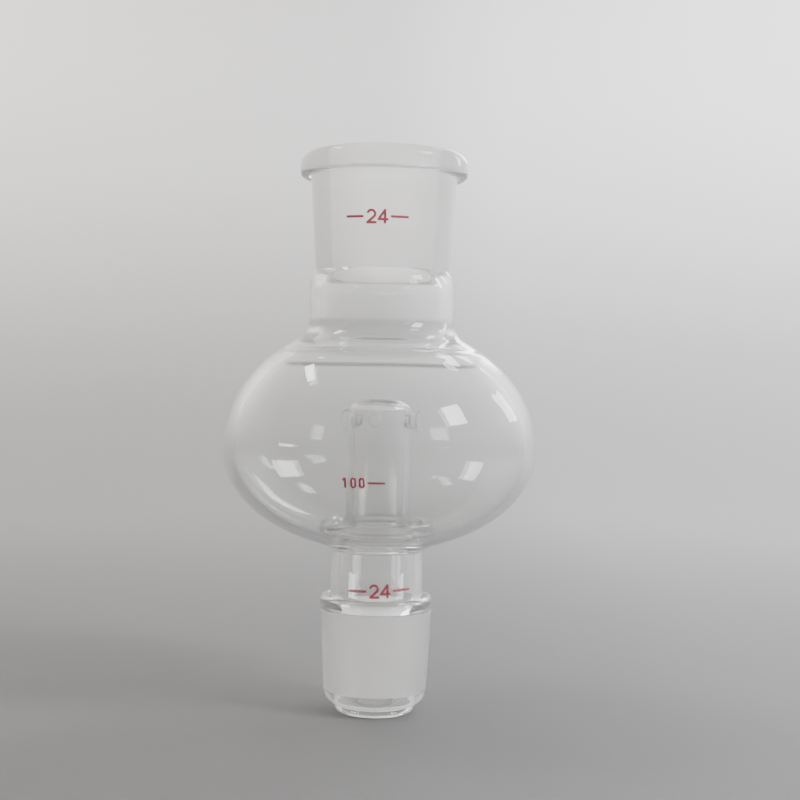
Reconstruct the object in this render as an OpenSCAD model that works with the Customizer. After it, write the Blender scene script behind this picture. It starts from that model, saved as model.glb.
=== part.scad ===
// Splash trap for a rotary evaporator: ground socket above, onion-shaped bulb with an inner
// vapour tube, ground cone and drip tip below. One fused body of borosilicate glass.
// The axis of the trap is Z, and the end of the drip tip is at Z = 0.

/* [Ground joints] */
// Diameter of the socket and of the cone at their wide ends
joint_d = 24; // [23:0.1:25]
// Loss of diameter for each millimetre along a joint
joint_taper = 0.1; // [0.08:0.01:0.12]
// Depth of the ground zone inside the socket, from the mouth down
socket_len = 25; // [22:0.5:30]
// Length of the ground zone on the cone
ground_len = 17.1; // [14:0.1:24]
// Height of the clear collar with its rounded lip, between the ground zone and the neck
collar_h = 3.2; // [2.8:0.1:4]
// Height of the drip tip below the ground zone
tip_h = 4.9; // [4:0.1:8]
// Outer diameter of the drip tip where its edge is rounded
tip_d = 16.8; // [15:0.1:18]
// Wall of the hollow cone
cone_wall = 2.3; // [2:0.1:2.6]

/* [Socket] */
// Outer diameter of the rim bead
rim_d = 35.8; // [34:0.1:38]
// Height of the rim bead
rim_h = 5; // [4:0.1:7]
// Outer diameter of the socket under its rim bead
socket_top_d = 31.3; // [30:0.1:32]
// Outer diameter of the socket where it meets the neck
socket_foot_d = 28.6; // [27.6:0.1:29.6]

/* [Bulb] */
// Outer diameter of the bulb
bulb_d = 67.2; // [60:0.2:76]
// Height of the widest ring of the bulb above the drip tip
bulb_z = 56.2; // [56.2:0.2:60]
// Rise of the upper half of the bulb
bulb_rise = 27.3; // [25:0.1:30]
// Drop of the lower half of the bulb
bulb_drop = 21.7; // [21:0.1:22.4]
// Wall of the bulb
bulb_wall = 2.4; // [1.8:0.1:3]

/* [Necks] */
// Outer diameter of the neck between bulb and socket
neck_d = 31; // [30:0.1:32]
// Wall of that neck
neck_wall = 2.4; // [2:0.1:2.8]
// Height of the socket's lower end above the drip tip
socket_z = 93.9; // [92:0.1:100]
// Outer diameter of the neck between bulb and cone
stem_d = 19.8; // [19:0.1:20.4]
// Wall of that neck
stem_wall = 1.9; // [1.6:0.1:2.2]

/* [Vapour tube] */
// Outer diameter of the inner tube
tube_d = 13.7; // [12:0.1:14.4]
// Wall of the inner tube
tube_wall = 1.4; // [1.1:0.1:1.6]
// Height of the tube's closed dome above the drip tip
tube_top = 67.3; // [65:0.1:69]
// Bore of each side hole in the tube's head
port_d = 2.7; // [2:0.1:3]
// Reach of the flared lip of a side hole from the axis
port_reach = 9; // [8.4:0.1:9.6]

/* [Printed marks] */
// Height of the figures on the joints
figure_h = 3; // [2.4:0.1:3.4]
// Height of the figures on the bulb
volume_h = 2.1; // [1.8:0.1:2.6]
// Width of a printed line
line_w = 0.5; // [0.35:0.05:0.6]
// Thickness of the fired ink
ink_t = 0.15; // [0.1:0.01:0.2]

/* [Hidden] */
$fn = 96;

// Levels along the axis
cone_z = tip_h;
collar_z = cone_z + ground_len;
lip_r = 0.85;
lip_z = collar_z + collar_h - 1.05;
stem_z = collar_z + collar_h;
seal_z = 34.3;
foot_z = 43.2;
head_z = tube_top - 7.3;
port_z = tube_top - 5;
rim_z = socket_z + socket_len - rim_h;
top_z = socket_z + socket_len;

// Radii of the joints, which narrow downwards at the standard taper
joint_r = joint_d / 2;
function socket_bore(z) = joint_r - joint_taper / 2 * (top_z - z);
function cone_r(z) = joint_r - joint_taper / 2 * (lip_z - z);

// Bulb: an upper and a lower half ellipse, the inner ones a wall smaller, or less at its floor
bulb_r = bulb_d / 2;
floor_share = 0.84;
shoulder_a = 56.5;
floor_a = -65;
function rise(inset) = bulb_rise - inset;
function drop(inset) = bulb_drop - floor_share * inset;
function bulb_at(a, inset) = [
    (bulb_r - inset) * cos(a),
    bulb_z + (a > 0 ? rise(inset) : drop(inset)) * sin(a),
];
function bulb_slope(a, inset) = [
    -(bulb_r - inset) * sin(a),
    (a > 0 ? rise(inset) : drop(inset)) * cos(a),
];
function bulb_line(inset, n) = [
    for (i = [0:n]) bulb_at(floor_a + (shoulder_a - floor_a) * i / n, inset)
];
// Where the bulb's tangent at angle a crosses the radius r
function bulb_corner(a, inset, r) =
    let (p = bulb_at(a, inset), s = bulb_slope(a, inset))
    [r, p[1] + (r - p[0]) * s[1] / s[0]];

// Radii of the necks and of the vapour tube
neck_r = neck_d / 2;
neck_bore = neck_r - neck_wall;
stem_r = stem_d / 2;
stem_bore = stem_r - stem_wall;
tube_r = tube_d / 2;
tube_bore = tube_r - tube_wall;
dome_z = tube_top - 2.9;

// Directions of the three side holes about the axis
PORTS = [70, -50, -170];

// Points along a circular arc, and along a curve that leaves p towards q and ends at r
function arc(c, r, a0, a1, n) = [
    for (i = [0:n]) c + r * [cos(a0 + (a1 - a0) * i / n), sin(a0 + (a1 - a0) * i / n)]
];
function bend(p, q, r, n) = [
    for (i = [0:n]) let (t = i / n) (1 - t) * (1 - t) * p + 2 * t * (1 - t) * q + t * t * r
];

// A solid of revolution from its outline in radius and height
module lathe(outline) {
    rotate_extrude()
        polygon(outline);
}

module clear_glass() {
    color([0.82, 0.88, 0.87, 0.45])
        children();
}

module ground_glass() {
    color([0.94, 0.94, 0.93])
        children();
}

module ink() {
    color([0.72, 0.12, 0.16])
        children();
}

// Rounded bead around the socket's mouth, flat on top, with a melted inner edge
module socket_rim() {
    rim_r = rim_d / 2;
    top_round = 2.3;
    foot_round = 1;
    mouth_round = 0.6;
    ground_glass()
        lathe(concat(
            [[socket_bore(rim_z), rim_z], [socket_top_d / 2, rim_z]],
            arc([rim_r - foot_round, rim_z + foot_round], foot_round, -90, 0, 6),
            arc([rim_r - top_round, top_z - top_round], top_round, 0, 90, 10),
            arc([joint_r + mouth_round, top_z - mouth_round], mouth_round, 90, 180, 6)
        ));
}

// Thick tapered socket, ground inside
module socket_joint() {
    ground_glass()
        lathe([
            [socket_bore(socket_z), socket_z],
            [socket_foot_d / 2, socket_z],
            [socket_top_d / 2, rim_z],
            [socket_bore(rim_z), rim_z],
        ]);
}

// Clear neck: welded to the socket's narrow end above, spreading into the shoulder below
module upper_neck() {
    weld_h = 3.2;
    spread_h = 5.1;
    outer_end = bulb_at(shoulder_a, 0);
    inner_end = bulb_at(shoulder_a, bulb_wall);
    clear_glass()
        lathe(concat(
            bend(
                [socket_foot_d / 2, socket_z],
                [neck_r, socket_z - 0.45 * weld_h],
                [neck_r, socket_z - weld_h],
                6
            ),
            bend(
                [neck_r, outer_end[1] + spread_h],
                bulb_corner(shoulder_a, 0, neck_r),
                outer_end,
                10
            ),
            bend(
                inner_end,
                bulb_corner(shoulder_a, bulb_wall, neck_bore),
                [neck_bore, inner_end[1] + spread_h],
                10
            ),
            bend(
                [neck_bore, socket_z - 1.2 * weld_h],
                [neck_bore, socket_z - 0.45 * weld_h],
                [socket_bore(socket_z), socket_z],
                6
            )
        ));
}

// Blown bulb, high in the shoulder and rounder below
module bulb() {
    outer = bulb_line(0, 48);
    inner = bulb_line(bulb_wall, 48);
    clear_glass()
        lathe(concat(outer, [for (i = [48:-1:0]) inner[i]]));
}

// Thick ring that seals the tube's foot, the bulb's floor and the lower neck together
module ring_seal() {
    bead_r = 1.6;
    bead = [11, bulb_at(floor_a, bulb_wall)[1] + 0.5];
    valley = [tube_r + 2.1, bead[1] + 0.6];
    arch_z = seal_z + 2.3;
    arch_h = 2.8;
    clear_glass()
        lathe(concat(
            bend(
                [stem_r, seal_z],
                bulb_corner(floor_a, 0, stem_r),
                bulb_at(floor_a, 0),
                8
            ),
            [bulb_at(floor_a, bulb_wall)],
            arc(bead, bead_r, -20, 160, 12),
            bend(valley, [tube_r, valley[1] + 0.2], [tube_r, foot_z], 8),
            [[tube_bore, foot_z]],
            bend(
                [tube_bore, arch_z + arch_h],
                [stem_bore, arch_z + arch_h - 0.4],
                [stem_bore, arch_z],
                8
            ),
            [[stem_bore, seal_z]]
        ));
}

// Straight inner tube that carries the vapour up through the bulb
module vapour_tube() {
    clear_glass()
        translate([0, 0, foot_z])
            difference() {
                cylinder(r = tube_r, h = head_z - foot_z);
                translate([0, 0, -1])
                    cylinder(r = tube_bore, h = head_z - foot_z + 2);
            }
}

// Closed, domed end of the inner tube, pierced by the side holes
module tube_head() {
    steps = 12;
    outer_h = tube_top - dome_z;
    inner_h = outer_h - 1.3;
    clear_glass()
        difference() {
            lathe(concat(
                [[tube_bore, head_z], [tube_r, head_z]],
                [for (i = [0:steps]) [
                    tube_r * cos(90 * i / steps),
                    dome_z + outer_h * sin(90 * i / steps),
                ]],
                [for (i = [steps:-1:0]) [
                    tube_bore * cos(90 * i / steps),
                    dome_z + inner_h * sin(90 * i / steps),
                ]]
            ));
            for (a = PORTS)
                port_place(a)
                    cylinder(r = port_d / 2, h = tube_d);
        }
}

// Puts a child, drawn along +Z from the axis, out through the side hole at angle a
module port_place(a) {
    rotate([0, 0, a])
        translate([0, 0, port_z])
            rotate([90, 0, 0])
                children();
}

// Flared glass lips around the side holes
module vent_lips() {
    inner = port_d / 2;
    wall = 0.45;
    edge = wall / 2;
    clear_glass()
        for (a = PORTS)
            difference() {
                port_place(a)
                    lathe(concat(
                        [[inner, tube_r - 1]],
                        bend(
                            [inner + 0.7 * wall, tube_r - 1],
                            [inner + 0.7 * wall, port_reach - 1],
                            [inner + 0.5 + wall, port_reach - edge],
                            6
                        ),
                        arc([inner + 0.5 + edge, port_reach - edge], edge, 30, 150, 4),
                        bend(
                            [inner + 0.5, port_reach - edge],
                            [inner, port_reach - 1],
                            [inner, tube_r - 0.5],
                            6
                        )
                    ));
                translate([0, 0, port_z - tube_d / 2])
                    cylinder(r = tube_r, h = tube_d);
            }
}

// Clear neck between the ring seal and the cone
module lower_neck() {
    clear_glass()
        translate([0, 0, stem_z])
            difference() {
                cylinder(r = stem_r, h = seal_z - stem_z);
                translate([0, 0, -1])
                    cylinder(r = stem_bore, h = seal_z - stem_z + 2);
            }
}

// Clear band above the ground zone, ending in a rounded lip with a shallow valley inside it
module cone_collar() {
    valley = [joint_r - 2 * lip_r, lip_z - 0.3];
    clear_glass()
        lathe(concat(
            [[cone_r(collar_z) - cone_wall, collar_z], [cone_r(collar_z), collar_z]],
            arc([joint_r - lip_r, lip_z], lip_r, 0, 170, 12),
            bend(valley, [stem_r, lip_z - 0.3], [stem_r, stem_z], 6),
            bend(
                [stem_bore, stem_z],
                [stem_bore, collar_z + 0.6 * collar_h],
                [cone_r(collar_z) - cone_wall, collar_z],
                6
            )
        ));
}

// Hollow cone, ground outside at the standard taper
module cone_joint() {
    ground_glass()
        lathe([
            [cone_r(cone_z) - cone_wall, cone_z],
            [cone_r(cone_z), cone_z],
            [cone_r(collar_z), collar_z],
            [cone_r(collar_z) - cone_wall, collar_z],
        ]);
}

// Clear drip tip, drawn in below the cone, with a fire-polished edge
module drip_tip() {
    edge = 0.85;
    edge_c = [tip_d / 2 - edge, edge];
    clear_glass()
        lathe(concat(
            bend(
                [cone_r(cone_z), cone_z],
                [cone_r(cone_z) - 0.3, 0.45 * tip_h],
                edge_c + edge * [cos(45), sin(45)],
                10
            ),
            arc(edge_c, edge, 30, -180, 14),
            bend(
                edge_c + [-edge, 0.5],
                [cone_r(cone_z) - cone_wall, 0.4 * tip_h],
                [cone_r(cone_z) - cone_wall, cone_z],
                8
            )
        ));
}

// A printed line with round ends from p to q
module stroke(p, q, w) {
    d = q - p;
    for (c = [p, q])
        translate(c)
            circle(d = w, $fn = 24);
    translate(p)
        rotate(atan2(d[1], d[0]))
            translate([0, -w / 2])
                square([norm(d), w]);
}

// A printed line along the arc of radius r about c, from angle a0 up to a1
module curl(c, r, a0, a1, w) {
    inner = arc(c, r - w / 2, a0, a1, 10);
    polygon(concat(
        arc(c, r + w / 2, a0, a1, 10),
        [for (i = [10:-1:0]) inner[i]]
    ));
}

// Plain figures, each in a cell of width 0.78 h and height h
module figure_2(h, w) {
    r = 0.26 * h;
    c = [0.39 * h, h - r - w / 2];
    curl(c, r, -35, 170, w);
    stroke(c + r * [cos(-35), sin(-35)], [0.12 * h, w / 2], w);
    stroke([0.12 * h, w / 2], [0.68 * h, w / 2], w);
}

module figure_4(h, w) {
    stroke([0.54 * h, w / 2], [0.54 * h, h - w / 2], w);
    stroke([0.54 * h, h - w / 2], [0.1 * h, 0.3 * h], w);
    stroke([0.1 * h, 0.3 * h], [0.7 * h, 0.3 * h], w);
}

module figure_1(h, w) {
    stroke([0.42 * h, w / 2], [0.42 * h, h - w / 2], w);
    stroke([0.42 * h, h - w / 2], [0.24 * h, 0.78 * h], w);
}

module figure_0(h, w) {
    r = 0.28 * h - w / 2;
    c = 0.39 * h;
    curl([c, h - w / 2 - r], r, 0, 180, w);
    curl([c, r + w / 2], r, 180, 360, w);
    for (side = [-1, 1])
        stroke([c + side * r, r + w / 2], [c + side * r, h - w / 2 - r], w);
}

// Joint mark: the gauge diameter in figures between two short bars
module joint_mark(h, w) {
    bar = 1.05 * h;
    translate([-0.78 * h, -h / 2])
        figure_2(h, w);
    translate([0, -h / 2])
        figure_4(h, w);
    for (side = [-1, 1])
        stroke([side * h, 0], [side * (h + bar), 0], w);
}

// Capacity mark: a round number beside a short level bar
module capacity_mark(h, w) {
    cell = 0.78 * h;
    translate([-2 * cell, -h / 2])
        figure_1(h, w);
    for (i = [0:1])
        translate([(i - 1) * cell, -h / 2])
            figure_0(h, w);
    stroke([1.3 * cell, 0], [3.1 * cell, 0], w);
}

// Prints a flat mark on the skin of ink that the lathe outline gives, facing -Y and turned by a
module print_on(skin, a, z, tilt) {
    intersection() {
        lathe(skin);
        rotate([0, 0, a])
            translate([0, 0, z])
                rotate([90, 0, 0])
                    linear_extrude(bulb_d)
                        rotate(tilt)
                            children();
    }
}

module socket_mark() {
    z = rim_z - 9.8;
    function wall(z) = socket_foot_d / 2
        + (socket_top_d - socket_foot_d) / 2 * (z - socket_z) / (rim_z - socket_z);
    lo = z - figure_h;
    hi = z + figure_h;
    ink()
        print_on(
            [[wall(lo), lo], [wall(lo) + ink_t, lo], [wall(hi) + ink_t, hi], [wall(hi), hi]],
            -5, z, 0
        )
            joint_mark(figure_h, line_w);
}

module volume_mark() {
    outer = bulb_line(-ink_t, 48);
    inner = bulb_line(0, 48);
    z = bulb_z - 5.1;
    ink()
        print_on(concat(outer, [for (i = [48:-1:0]) inner[i]]), -7, z, 0)
            capacity_mark(volume_h, 0.8 * line_w);
}

module cone_mark() {
    ink()
        print_on(
            [
                [stem_r, stem_z],
                [stem_r + ink_t, stem_z],
                [stem_r + ink_t, seal_z],
                [stem_r, seal_z],
            ],
            4, stem_z + figure_h / 2 + 0.3, 2
        )
            joint_mark(figure_h, line_w);
}

socket_rim();
socket_joint();
upper_neck();
bulb();
ring_seal();
vapour_tube();
tube_head();
vent_lips();
lower_neck();
cone_collar();
cone_joint();
drip_tip();
socket_mark();
volume_mark();
cone_mark();
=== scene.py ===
import math

import bmesh
import bpy
from mathutils import Euler, Matrix, Vector


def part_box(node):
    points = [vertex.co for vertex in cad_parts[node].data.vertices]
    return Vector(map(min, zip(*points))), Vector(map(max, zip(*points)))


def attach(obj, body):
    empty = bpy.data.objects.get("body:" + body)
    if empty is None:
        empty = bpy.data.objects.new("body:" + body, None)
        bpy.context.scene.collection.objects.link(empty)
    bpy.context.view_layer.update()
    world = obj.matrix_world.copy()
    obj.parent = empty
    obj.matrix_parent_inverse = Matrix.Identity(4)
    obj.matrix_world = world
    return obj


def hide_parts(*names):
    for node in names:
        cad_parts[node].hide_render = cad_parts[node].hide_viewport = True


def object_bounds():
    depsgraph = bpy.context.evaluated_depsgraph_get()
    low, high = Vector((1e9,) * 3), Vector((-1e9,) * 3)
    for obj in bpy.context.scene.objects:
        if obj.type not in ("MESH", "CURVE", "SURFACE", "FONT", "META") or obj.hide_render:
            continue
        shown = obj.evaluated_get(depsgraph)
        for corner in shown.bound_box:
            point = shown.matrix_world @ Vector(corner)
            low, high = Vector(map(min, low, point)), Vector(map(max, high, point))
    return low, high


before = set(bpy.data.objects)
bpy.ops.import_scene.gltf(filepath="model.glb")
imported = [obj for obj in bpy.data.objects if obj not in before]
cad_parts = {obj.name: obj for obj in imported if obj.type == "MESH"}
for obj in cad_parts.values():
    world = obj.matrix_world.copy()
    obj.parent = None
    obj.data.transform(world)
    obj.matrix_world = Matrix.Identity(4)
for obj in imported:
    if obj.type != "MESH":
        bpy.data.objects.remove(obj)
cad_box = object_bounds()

# Everything is in metres. The trap's axis is Z, and the printed marks face -Y.
MM = 0.001
BODY = "root"

# Glass nodes that are solids of revolution about Z, and the record's slot of each
LATHED = {
    "socket_rim": "ground_glass",
    "socket_joint": "ground_glass",
    "upper_neck": "clear_glass",
    "bulb": "clear_glass",
    "ring_seal": "clear_glass",
    "vapour_tube": "clear_glass",
    "lower_neck": "clear_glass",
    "cone_collar": "clear_glass",
    "cone_joint": "ground_glass",
    "drip_tip": "clear_glass",
}
# Which side of a node is ground: -1 towards the axis, +1 away from it
GROUND_SIDE = {"socket_rim": -1, "socket_joint": -1, "cone_joint": 1}
MARKS = ["socket_mark", "volume_mark", "cone_mark"]

# Directions of the inner tube's side holes about the axis, and the radius of their bore
PORTS = [math.radians(a) for a in (70, -50, -170)]
PORT_R = 1.35 * MM

# Numbers of a glass piece's materials, in the order in which build_trap lists them
CLEAR, SEAM, GROUND = 0, 1, 2

# Refractive index of borosilicate glass
GLASS_IOR = 1.474

# Steps of a turned piece about the axis
TURNS = 192
# Points nearer to each other than this are one point
SAME_POINT = 0.02 * MM
# Cosines of the least bend that an outline keeps and of the widest that is shaded smoothly
STRAIGHT = math.cos(math.radians(0.3))
SHARP = math.cos(math.radians(38))
# Least sideways part of the normal on a ground wall, which leaves out its ends and rounded edges
SIDEWAYS = 0.97


# ------------------------------------------------- outlines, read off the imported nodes

def outline(node):
    """The closed outline of a solid of revolution as points (radius, height), anticlockwise.

    The mesh is folded onto one half plane, and a walk goes round it to the nearest new neighbour.
    """
    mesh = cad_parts[node].data
    grid = SAME_POINT / 2
    keys = [
        (round(math.hypot(v.co.x, v.co.y) / grid), round(v.co.z / grid)) for v in mesh.vertices
    ]
    near = {}
    for face in mesh.polygons:
        ring = [keys[i] for i in face.vertices]
        for a, b in zip(ring, ring[1:] + ring[:1]):
            if a != b:
                near.setdefault(a, set()).add(b)
                near.setdefault(b, set()).add(a)
    here = min(near)
    loop = [here]
    while True:
        ahead = [k for k in near[here] if k not in loop]
        if not ahead:
            break
        here = min(ahead, key=lambda k: (math.dist(k, here), k))
        loop.append(here)
    points = [Vector(k) * grid for k in loop]
    return anticlockwise(without_straight_points(points))


def without_straight_points(points):
    """The points of a closed outline at which it bends."""
    kept = []
    for i, p in enumerate(points):
        before = (p - points[i - 1]).normalized()
        after = (points[(i + 1) % len(points)] - p).normalized()
        if before.dot(after) < STRAIGHT:
            kept.append(p)
    return kept


def anticlockwise(points):
    """The points in anticlockwise order, told by the sign of the area that they enclose."""
    area = sum(a.x * b.y - b.x * a.y for a, b in zip(points, points[1:] + points[:1]))
    return points if area > 0 else points[::-1]


def head_outline(tube):
    """The domed end of the inner tube, before its side holes: it closes on the axis."""
    low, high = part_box("tube_head")
    outer_r = max(p.x for p in tube)
    inner_r = min(p.x for p in tube)
    outer_rise, inner_rise = 2.9 * MM, 1.6 * MM
    dome_z = high.z - outer_rise
    steps = 20
    rising = [math.radians(90 * i / steps) for i in range(steps + 1)]
    points = [Vector((inner_r, low.z)), Vector((outer_r, low.z))]
    for radius, rise, angles in (
        (outer_r, outer_rise, rising),
        (inner_r, inner_rise, rising[::-1]),
    ):
        points += [Vector((radius * math.cos(a), dome_z + rise * math.sin(a))) for a in angles]
    return points


# ------------------------------------------------- which outline edges are fused seams

def point_number(p, known):
    """The number of the known point at p, or a new one."""
    for i, q in enumerate(known):
        if (p - q).length < SAME_POINT:
            return i
    known.append(p)
    return len(known) - 1


def split_at(loop, points):
    """The loop with each of these points that lies along one of its edges added to it."""
    split = []
    for p, q in zip(loop, loop[1:] + loop[:1]):
        split.append(p)
        along = (q - p).normalized()
        reach = (q - p).length
        between = []
        for r in points:
            t = (r - p).dot(along)
            if SAME_POINT < t < reach - SAME_POINT and (p + along * t - r).length < SAME_POINT:
                between.append((t, r))
        split += [r for t, r in sorted(between, key=lambda found: found[0])]
    return split


def edge_normal(p, q):
    """The normal that points out of an anticlockwise outline along the edge from p to q."""
    along = (q - p).normalized()
    return Vector((along.y, -along.x))


class Outlines:
    """All outlines together: their fused seams, and a normal that runs smoothly across a seam."""

    def __init__(self, loops):
        known = []
        for loop in loops.values():
            for p in loop:
                point_number(p, known)
        self.loops = {node: split_at(loop, known) for node, loop in loops.items()}
        self.numbers = {
            node: [point_number(p, known) for p in loop] for node, loop in self.loops.items()
        }
        owners = {}
        for node, ids in self.numbers.items():
            for edge in zip(ids, ids[1:] + ids[:1]):
                owners.setdefault(frozenset(edge), set()).add(node)
        self.seams = {edge for edge, nodes in owners.items() if len(nodes) > 1}
        self.walls = {}
        for node, ids in self.numbers.items():
            loop = self.loops[node]
            for i, a in enumerate(ids):
                j = (i + 1) % len(ids)
                if frozenset((a, ids[j])) not in self.seams:
                    n = edge_normal(loop[i], loop[j])
                    self.walls.setdefault(a, []).append(n)
                    self.walls.setdefault(ids[j], []).append(n)

    def normal(self, number, own):
        """The shading normal at a point for an edge with this normal of its own."""
        near = [n for n in self.walls.get(number, []) if n.dot(own) > SHARP]
        trace = 1e-6
        # The trace of its own normal decides where no wall near the point faces the same way
        return sum(near, own * trace).normalized()

    def edges(self, node):
        """Each edge of a node's outline: two points, the normal at each, and if it is a seam."""
        loop, ids = self.loops[node], self.numbers[node]
        for i, p in enumerate(loop):
            j = (i + 1) % len(loop)
            q = loop[j]
            if max(p.x, q.x) < SAME_POINT:
                continue
            own = edge_normal(p, q)
            seam = frozenset((ids[i], ids[j])) in self.seams
            yield p, q, self.normal(ids[i], own), self.normal(ids[j], own), seam


# ------------------------------------------------- meshes

def new_object(name, data):
    """A new object in the scene that holds this mesh, lamp or camera."""
    thing = bpy.data.objects.new(name, data)
    bpy.context.scene.collection.objects.link(thing)
    return thing


def lathe(name, edges, zone_of):
    """Turns an outline's edges about Z. zone_of(p, q, seam) gives each edge's material number."""
    verts, faces, zones, normals, rings = [], [], [], [], {}
    angles = [2 * math.pi * k / TURNS for k in range(TURNS)]
    spokes = [(math.cos(a), math.sin(a)) for a in angles]
    grid = SAME_POINT / 4

    def ring(p):
        """The vertices that the point p sweeps, made once and shared by the edges that meet there."""
        key = (round(p.x / grid), round(p.y / grid))
        if key not in rings:
            start = len(verts)
            if p.x < SAME_POINT:
                verts.append((0, 0, p.y))
                rings[key] = [start] * TURNS
            else:
                verts.extend((p.x * c, p.x * s, p.y) for c, s in spokes)
                rings[key] = [start + k for k in range(TURNS)]
        return rings[key]

    for p, q, n_p, n_q, seam in edges:
        low, high = ring(p), ring(q)
        zone = zone_of(p, q, seam)
        for k in range(TURNS):
            m = (k + 1) % TURNS
            corners = [(low[k], k, n_p), (low[m], m, n_p), (high[m], m, n_q), (high[k], k, n_q)]
            if low[k] == low[m]:
                corners.pop(0)
            if high[k] == high[m]:
                corners.pop()
            faces.append([c[0] for c in corners])
            zones.append(zone)
            normals += [(n.x * spokes[s][0], n.x * spokes[s][1], n.y) for _, s, n in corners]
    mesh = bpy.data.meshes.new(name)
    mesh.from_pydata(verts, [], faces)
    for face, zone in zip(mesh.polygons, zones):
        face.material_index = zone
        face.use_smooth = True
    mesh.normals_split_custom_set(normals)
    return new_object(name, mesh)


# ------------------------------------------------- materials

def new_material(name):
    """A new material with its nodes, its links and its shader."""
    made = bpy.data.materials.new(name)
    made.use_nodes = True
    nodes = made.node_tree.nodes
    return made, nodes, made.node_tree.links, nodes["Principled BSDF"]


def noise_at(nodes, links, scale, detail):
    """A cloudy pattern fixed to the piece, with about this many clouds to the metre."""
    place = nodes.new("ShaderNodeTexCoord")
    field = nodes.new("ShaderNodeTexNoise")
    field.inputs["Scale"].default_value = scale
    field.inputs["Detail"].default_value = detail
    links.new(place.outputs["Object"], field.inputs["Vector"])
    return field.outputs["Fac"]


def ramp(nodes, links, source, stops):
    """Colours from a value between 0 and 1, with a (position, colour) for each stop."""
    made = nodes.new("ShaderNodeValToRGB")
    made.color_ramp.elements[0].position = stops[0][0]
    made.color_ramp.elements[0].color = stops[0][1]
    made.color_ramp.elements[1].position = stops[-1][0]
    made.color_ramp.elements[1].color = stops[-1][1]
    for position, colour in stops[1:-1]:
        made.color_ramp.elements.new(position).color = colour
    links.new(source, made.inputs["Fac"])
    return made.outputs["Color"]


def grey(value):
    return (value, value, value, 1)


def bump(nodes, links, shader, height, distance, strength):
    made = nodes.new("ShaderNodeBump")
    made.inputs["Distance"].default_value = distance
    made.inputs["Strength"].default_value = strength
    links.new(height, made.inputs["Height"])
    links.new(made.outputs["Normal"], shader.inputs["Normal"])


def clear_glass():
    """Polished borosilicate: faintly wavy from the blowing, with a thin film of handling marks.

    A tenth of the light is scattered and not let through, which veils the glass a little.
    """
    made, nodes, links, shader = new_material("clear_glass_look")
    shader.inputs["Base Color"].default_value = (0.99, 0.992, 0.987, 1)
    shader.inputs["Transmission Weight"].default_value = 0.9
    shader.inputs["IOR"].default_value = GLASS_IOR
    film = noise_at(nodes, links, 90, 3)
    rough = ramp(nodes, links, film, [(0.45, grey(0.0)), (0.8, grey(0.05))])
    links.new(rough, shader.inputs["Roughness"])
    wave = noise_at(nodes, links, 45, 1)
    bump(nodes, links, shader, wave, distance=0.25 * MM, strength=0.35)
    return made


def ground_glass(name, clarity):
    """A finely ground surface: white, even and translucent. Clarity is the share let through."""
    made, nodes, links, shader = new_material(name)
    tone = ramp(
        nodes, links, noise_at(nodes, links, 160, 4),
        [(0.3, (0.94, 0.92, 0.91, 1)), (0.7, (0.99, 0.98, 0.97, 1))],
    )
    links.new(tone, shader.inputs["Base Color"])
    shader.inputs["Transmission Weight"].default_value = clarity
    shader.inputs["IOR"].default_value = GLASS_IOR
    shader.inputs["Roughness"].default_value = 0.6
    grain = noise_at(nodes, links, 4000, 2)
    bump(nodes, links, shader, grain, distance=0.02 * MM, strength=0.5)
    return made


def fused():
    """Where two pieces are one glass on the real trap there is no surface, so nothing shows."""
    made, _, _, shader = new_material("fused_seam")
    shader.inputs["Alpha"].default_value = 0
    return made


def printed_ink():
    """Fired red enamel, a little thin and uneven where the screen print let the glass through."""
    made, nodes, links, shader = new_material("printed_ink_look")
    tone = ramp(
        nodes, links, noise_at(nodes, links, 1500, 3),
        [(0.35, (0.42, 0.05, 0.07, 1)), (0.7, (0.6, 0.13, 0.16, 1))],
    )
    links.new(tone, shader.inputs["Base Color"])
    shader.inputs["Roughness"].default_value = 0.42
    return made


# ------------------------------------------------- the trap

def finish_piece(piece, looks, slot, *nodes):
    """Gives a piece its looks and its body, and hides the CAD nodes it stands for. The slot is not
    used.
    """
    for look in looks:
        piece.data.materials.append(look)
    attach(piece, BODY)
    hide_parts(*nodes)


def zones_of(node):
    """A function that gives the material number of each edge of this node's outline."""
    side = GROUND_SIDE.get(node, 0)

    def zone(p, q, seam):
        if seam:
            return SEAM
        return GROUND if edge_normal(p, q).x * side > SIDEWAYS else CLEAR

    return zone


def port_matrix(turn, height):
    """Carries +Z out through the side hole at this angle from -Y, with local Y kept upright."""
    return (
        Matrix.Translation((0, 0, height))
        @ Matrix.Rotation(turn, 4, "Z")
        @ Matrix.Rotation(math.radians(90), 4, "X")
    )


def tube_head(outlines, looks):
    """The domed head, with its side holes cut through the wall."""
    piece = lathe("tube_head_glass", outlines.edges("tube_head"), zones_of("tube_head"))
    lips_low, lips_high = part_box("vent_lips")
    centre = (lips_low.z + lips_high.z) / 2
    cutter_length = 20 * MM
    cutters = []
    for turn in PORTS:
        cut = bpy.data.meshes.new("port_cutter")
        work = bmesh.new()
        bmesh.ops.create_cone(
            work, cap_ends=True, segments=48, radius1=PORT_R, radius2=PORT_R, depth=cutter_length
        )
        work.to_mesh(cut)
        work.free()
        tool = new_object("port_cutter", cut)
        outwards = Matrix.Translation((0, 0, cutter_length / 2))
        tool.matrix_world = port_matrix(turn, centre) @ outwards
        mod = piece.modifiers.new("hole", "BOOLEAN")
        mod.operation = "DIFFERENCE"
        mod.solver = "EXACT"
        mod.object = tool
        cutters.append(tool)
    bpy.context.view_layer.update()
    shape = bpy.data.meshes.new_from_object(
        piece.evaluated_get(bpy.context.evaluated_depsgraph_get())
    )
    piece.modifiers.clear()
    piece.data = shape
    shape.name = "tube_head_glass"
    for tool in cutters:
        bpy.data.objects.remove(tool)
    finish_piece(piece, looks, "clear_glass", "tube_head")


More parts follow.
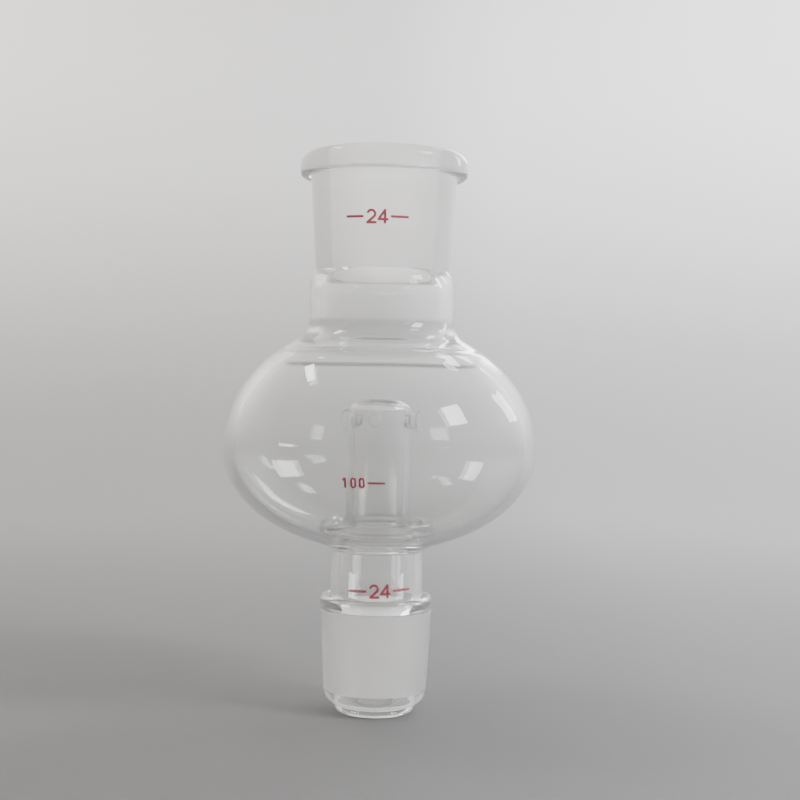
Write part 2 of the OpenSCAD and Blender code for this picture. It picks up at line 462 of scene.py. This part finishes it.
def bend(p, q, r, steps):
    """Points along a curve that leaves p towards q and ends at r."""
    shares = [i / steps for i in range(steps + 1)]
    return [p * (1 - t) ** 2 + q * 2 * t * (1 - t) + r * t * t for t in shares]


def vent_lips(tube_r, looks):
    """Three flared lips, each closing on the tube's round wall.

    A lip's outline is in distance from the hole's axis and distance from the tube's axis. It runs
    up the outside, round the edge and down the inside.
    """
    low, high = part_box("vent_lips")
    centre = (low.z + high.z) / 2
    flare_r = (high.z - low.z) / 2
    reach = 9 * MM
    straight_to = reach - 1 * MM
    wall = 0.45 * MM
    edge_r = wall / 2
    outer_r = PORT_R + 0.7 * wall
    rim = Vector((flare_r - edge_r, reach - edge_r))
    steps = 8
    lip = bend(
        Vector((outer_r, tube_r)), Vector((outer_r, straight_to)), rim + Vector((edge_r, 0)), steps
    )
    lip += [
        rim + Vector((math.cos(a), math.sin(a))) * edge_r
        for a in (math.pi * i / steps for i in range(1, steps))
    ]
    lip += bend(
        rim - Vector((edge_r, 0)), Vector((PORT_R, straight_to)), Vector((PORT_R, tube_r)), steps
    )
    spokes = 64
    verts, faces, zones = [], [], []
    for turn in PORTS:
        place = port_matrix(turn, centre)
        start = len(verts)
        for i, p in enumerate(lip):
            on_tube = i in (0, len(lip) - 1)
            for k in range(spokes):
                a = 2 * math.pi * k / spokes
                x, y = p.x * math.cos(a), p.x * math.sin(a)
                out = math.sqrt(tube_r**2 - x * x) if on_tube else p.y
                verts.append(place @ Vector((x, y, out)))
        for i in range(len(lip)):
            j = (i + 1) % len(lip)
            for k in range(spokes):
                m = (k + 1) % spokes
                faces.append([
                    start + i * spokes + k,
                    start + i * spokes + m,
                    start + j * spokes + m,
                    start + j * spokes + k,
                ])
                zones.append(SEAM if j == 0 else CLEAR)
    mesh = bpy.data.meshes.new("vent_lips_glass")
    mesh.from_pydata(verts, [], faces)
    for face, zone in zip(mesh.polygons, zones):
        face.material_index = zone
        face.use_smooth = True
    finish_piece(new_object("vent_lips_glass", mesh), looks, "clear_glass", "vent_lips")


def build_trap():
    """Every glass piece with its look, and the look of the printed marks."""
    loops = {node: outline(node) for node in LATHED}
    loops["tube_head"] = head_outline(loops["vapour_tube"])
    outlines = Outlines(loops)
    polished = [clear_glass(), fused()]
    looks = polished + [ground_glass("ground_socket_look", clarity=0.25)]
    cone_looks = polished + [ground_glass("ground_cone_look", clarity=0.8)]
    for node, slot in LATHED.items():
        piece = lathe(node + "_glass", outlines.edges(node), zones_of(node))
        finish_piece(piece, cone_looks if node == "cone_joint" else looks, slot, node)
    tube_head(outlines, looks)
    vent_lips(max(p.x for p in loops["vapour_tube"]), looks)
    ink = printed_ink()
    for node in MARKS:
        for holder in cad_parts[node].material_slots:
            holder.material = ink


# ------------------------------------------------- set, light and camera

# Azimuths and elevations are in degrees, and a lamp's radiance is in W per m2 and steradian.

def backdrop():
    """A pale floor that sweeps up into an open round wall."""
    floor_r, sweep_r, wall_h = 0.5, 0.35, 0.9
    steps, turns = 20, 128
    floor_rings = (0, 0.1, 0.3)
    profile = [Vector((radius, 0)) for radius in floor_rings]
    profile += [
        Vector((floor_r + sweep_r * math.sin(a), sweep_r * (1 - math.cos(a))))
        for a in (math.radians(90 * i / steps) for i in range(steps + 1))
    ]
    profile.append(Vector((floor_r + sweep_r, wall_h)))
    angles = [2 * math.pi * k / turns for k in range(turns)]
    verts, faces = [], []
    for p in profile:
        verts += [(p.x * math.cos(a), p.x * math.sin(a), p.y) for a in angles]
    for i in range(len(profile) - 1):
        for k in range(turns):
            m = (k + 1) % turns
            faces.append([i * turns + k, i * turns + m, (i + 1) * turns + m, (i + 1) * turns + k])
    mesh = bpy.data.meshes.new("backdrop")
    mesh.from_pydata(verts, [], faces)
    work = bmesh.new()
    work.from_mesh(mesh)
    # The first ring has no width, so it is joined into the floor's middle point
    bmesh.ops.remove_doubles(work, verts=work.verts, dist=1e-6)
    work.to_mesh(mesh)
    work.free()
    for face in mesh.polygons:
        face.use_smooth = True
    mesh.materials.append(pale_paper_painted_light())
    new_object("backdrop", mesh)


def pale_paper_painted_light():
    """Pale paper with painted shade and light: painted a shade deeper where it lies flat, and painted
    warmer on the left and lighter and cooler on the right.
    """
    # Painted shade and light: the floor is painted darker than the wall, and the right lighter and
    # cooler than the left
    painted_floor_shade, painted_wall_light, wall_z = 0.29, 0.95, 0.36
    side_x = 0.1
    warm, middle, cool_painted_light = (0.84, 0.82, 0.81, 1), (0.84, 0.83, 0.825, 1), (1.05, 1.05, 1.06, 1)
    made, nodes, links, shader = new_material("pale_paper_painted_light")
    place = nodes.new("ShaderNodeTexCoord")
    split = nodes.new("ShaderNodeSeparateXYZ")
    links.new(place.outputs["Object"], split.inputs["Vector"])
    # Painted shade: darker on the floor, lighter up the wall
    tone = nodes.new("ShaderNodeMapRange")
    tone.interpolation_type = "SMOOTHSTEP"
    tone.inputs["From Min"].default_value = 0
    tone.inputs["From Max"].default_value = wall_z
    tone.inputs["To Min"].default_value = painted_floor_shade
    tone.inputs["To Max"].default_value = painted_wall_light
    links.new(split.outputs["Z"], tone.inputs["Value"])
    # Painted light: warmer on the left, lighter and cooler on the right
    side = nodes.new("ShaderNodeMapRange")
    side.inputs["From Min"].default_value = -side_x
    side.inputs["From Max"].default_value = side_x
    links.new(split.outputs["X"], side.inputs["Value"])
    painted_side_light = ramp(nodes, links, side.outputs["Result"], [(0, warm), (0.5, middle), (1, cool_painted_light)])
    shade = nodes.new("ShaderNodeVectorMath")
    shade.operation = "SCALE"
    links.new(painted_side_light, shade.inputs[0])
    links.new(tone.outputs["Result"], shade.inputs["Scale"])
    links.new(shade.outputs["Vector"], shader.inputs["Base Color"])
    shader.inputs["Roughness"].default_value = 0.9
    shader.inputs["Specular IOR Level"].default_value = 0
    return made


def toward(azimuth, elevation, reach):
    """A point seen from the axis at this azimuth, from -Y towards +X, and this elevation."""
    a, e = math.radians(azimuth), math.radians(elevation)
    return Vector((math.sin(a) * math.cos(e), -math.cos(a) * math.cos(e), math.sin(e))) * reach


def softbox(name, place, aim, size, radiance, colour=(1, 1, 1)):
    """A flat lamp of this width and height that faces the aim and is hidden from the camera."""
    lamp = bpy.data.lights.new(name, "AREA")
    lamp.shape = "RECTANGLE"
    lamp.size, lamp.size_y = size
    lamp.energy = radiance * math.pi * size[0] * size[1]
    lamp.color = colour
    thing = new_object(name, lamp)
    thing.location = place
    thing.rotation_euler = (Vector(aim) - Vector(place)).to_track_quat("-Z", "Y").to_euler()
    thing.visible_camera = False
    return thing


def sky():
    """Even, slightly warm light from all round."""
    world = bpy.data.worlds.new("studio")
    world.use_nodes = True
    light = world.node_tree.nodes["Background"]
    light.inputs["Color"].default_value = (1, 0.985, 0.975, 1)
    light.inputs["Strength"].default_value = 0.75
    bpy.context.scene.world = world


def softboxes():
    """The boxes whose reflections give the bulb and the rim their highlights."""
    middle = (cad_box[0] + cad_box[1]) / 2
    boxes = [
        # name, azimuth, elevation, reach, width, height, radiance, colour
        ("key", 62, 33, 0.6, 0.15, 0.17, 26, (0.97, 0.99, 1)),
        ("upper_left", -105, 56, 0.65, 0.2, 0.05, 24, (1, 0.98, 0.96)),
        ("rim_back", 164, 21, 0.7, 0.2, 0.1, 8, (1, 1, 1)),
        ("right_back", 122, 22, 0.6, 0.06, 0.17, 14, (0.95, 0.98, 1)),
        ("right_shoulder", 136, 52, 0.6, 0.12, 0.06, 14, (1, 1, 1)),
    ]
    for name, azimuth, elevation, reach, width, height, radiance, colour in boxes:
        place = middle + toward(azimuth, elevation, reach)
        softbox(name, place, middle, (width, height), radiance, colour)


def fill():
    """Light from above the camera that only whitens the pieces with a ground surface."""
    socket = Vector((0, 0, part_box("socket_joint")[0].z))
    place = socket + toward(-5, 45, 0.35)
    lamp = softbox(
        "fill", place, socket, size=(0.16, 0.16), radiance=30, colour=(1, 0.985, 0.975)
    )
    lamp.visible_glossy = False
    ground = bpy.data.collections.new("ground pieces")
    for node in GROUND_SIDE:
        ground.objects.link(bpy.data.objects[node + "_glass"])
    lamp.light_linking.receiver_collection = ground


def reflection_cards():
    """Cards beside the trap that show only as streaks on the inner tube, the bulb and the neck."""
    cards = [
        # name, azimuth, reach, height, width, tall, radiance
        ("left_card", -61, 0.1, 0.022, 0.03, 0.034, 14),
        ("right_card", 62, 0.1, 0.024, 0.018, 0.038, 14),
        ("left_sliver", -62, 0.16, 0.068, 0.03, 0.006, 14),
    ]
    for name, azimuth, reach, height, width, tall, radiance in cards:
        aim = Vector((0, 0, height))
        card = softbox(name, toward(azimuth, 0, reach) + aim, aim, (width, tall), radiance)
        card.visible_diffuse = False


def wall_washes():
    """Light for the wall behind the trap, brighter and cooler on the right."""
    lamp_reach, lamp_height = 0.42, 0.5
    spot_reach, spot_height = 0.85, 0.12
    washes = [
        # name, azimuth, radiance, colour
        ("left_wash", 222, 19, (1, 0.975, 0.95)),
        ("right_wash", 138, 25, (0.96, 0.98, 1)),
    ]
    for name, azimuth, radiance, colour in washes:
        place = toward(azimuth, 0, lamp_reach) + Vector((0, 0, lamp_height))
        spot = toward(azimuth, 0, spot_reach) + Vector((0, 0, spot_height))
        wash = softbox(name, place, spot, (0.35, 0.2), radiance, colour)
        wash.visible_glossy = False
        wash.visible_transmission = False


def camera():
    """Level with the bulb and near it, turned so that the trap stands a little left of middle."""
    distance, height = 0.287, 0.0699
    # Degrees that the view is turned down and to the right, and rolled about its own axis
    down, right, roll = 0.642, 0.856, 1.12
    view = bpy.data.cameras.new("camera")
    view.sensor_width = 36
    view.lens = 60.2
    thing = new_object("camera", view)
    aim = Euler((math.radians(90 - down), 0, math.radians(-right))).to_matrix().to_4x4()
    thing.matrix_world = (
        Matrix.Translation((0, -distance, height))
        @ aim
        @ Matrix.Rotation(math.radians(roll), 4, "Z")
    )
    bpy.context.scene.camera = thing


def light_paths():
    """Light takes many turns inside a glass wall, so its paths may be long."""
    paths = bpy.context.scene.cycles
    paths.max_bounces = 40
    paths.diffuse_bounces = 12
    paths.glossy_bounces = 40
    paths.transmission_bounces = 40
    paths.transparent_max_bounces = 64


camera()
light_paths()
build_trap()
backdrop()
sky()
softboxes()
fill()
reflection_cards()
wall_washes()
